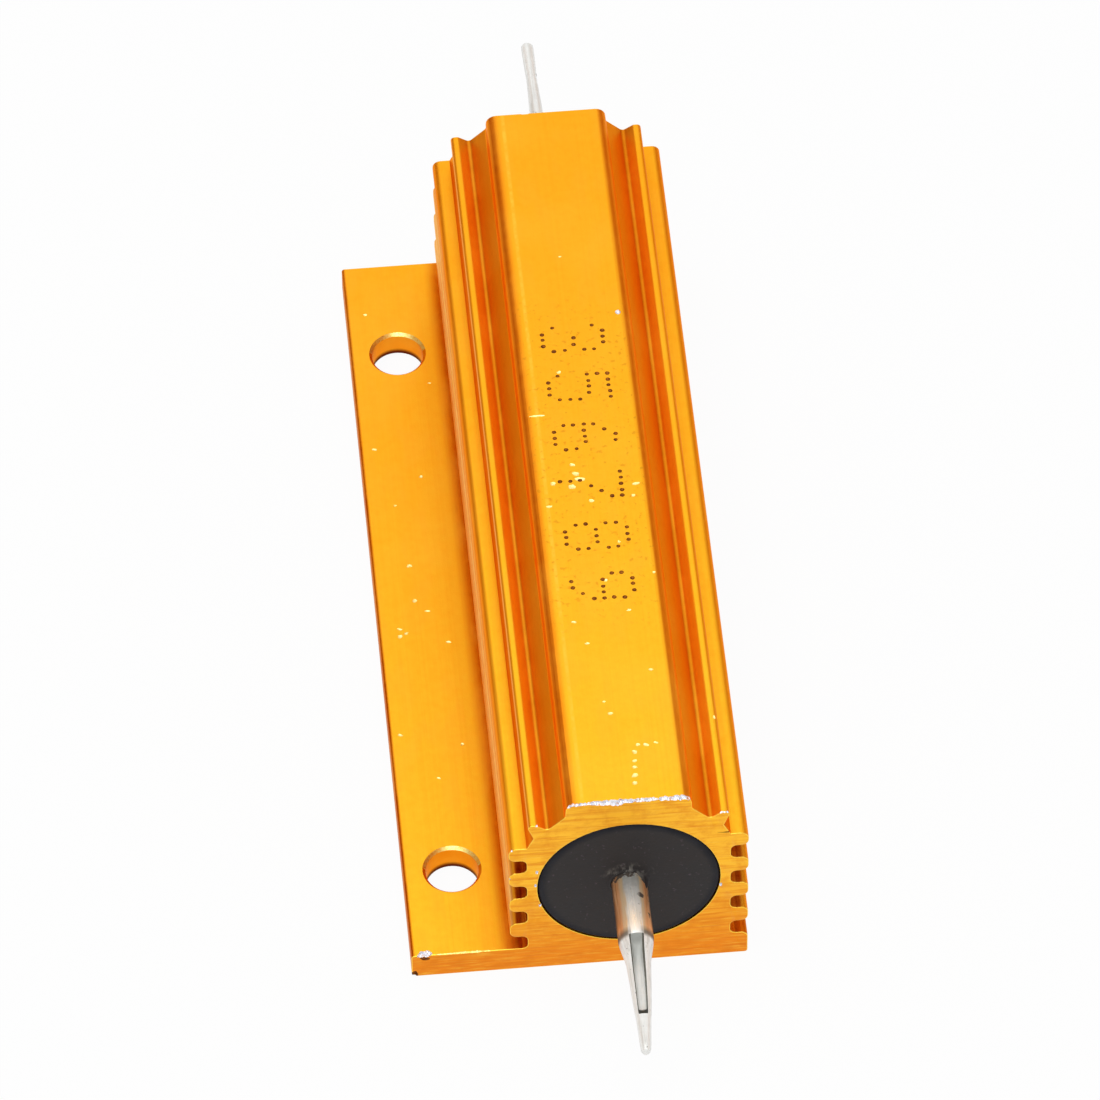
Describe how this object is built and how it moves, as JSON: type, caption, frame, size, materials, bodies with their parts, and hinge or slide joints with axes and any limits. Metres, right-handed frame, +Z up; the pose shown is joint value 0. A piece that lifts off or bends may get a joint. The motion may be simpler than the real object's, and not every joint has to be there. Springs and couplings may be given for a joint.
{
  "type": "aluminium housed power resistor",
  "caption": "Wirewound power resistor in a finned, gold anodised aluminium housing with one mounting flange and a solder terminal at each end.",
  "frame": {"origin": "middle of the footprint on the mounting face, half way between the two terminal tips", "axes": "+X across the body away from the flange, +Y along the extrusion towards the rear terminal, +Z up from the mounting face"},
  "size_m": [0.0284, 0.1134, 0.0214],
  "materials": {
    "anodised_housing": "satin gold anodised extrusion with saw-cut ends and a few chips",
    "black_seal": "matt moulded compound",
    "insulating_compound": "matt cured compound",
    "ceramic_core": "unglazed",
    "resistance_wire": "drawn wire",
    "cap_steel": "drawn sheet",
    "tinned_terminal": "bright tin over a turned and pressed pin"
  },
  "bodies": {
    "root": {"housing": "anodised_housing", "front_seal": "black_seal", "rear_seal": "black_seal", "insulating_fill": "insulating_compound", "ceramic_core": "ceramic_core", "resistance_winding": "resistance_wire", "front_end_cap": "cap_steel", "rear_end_cap": "cap_steel", "front_terminal": "tinned_terminal", "rear_terminal": "tinned_terminal"}
  },
  "joints": []
}
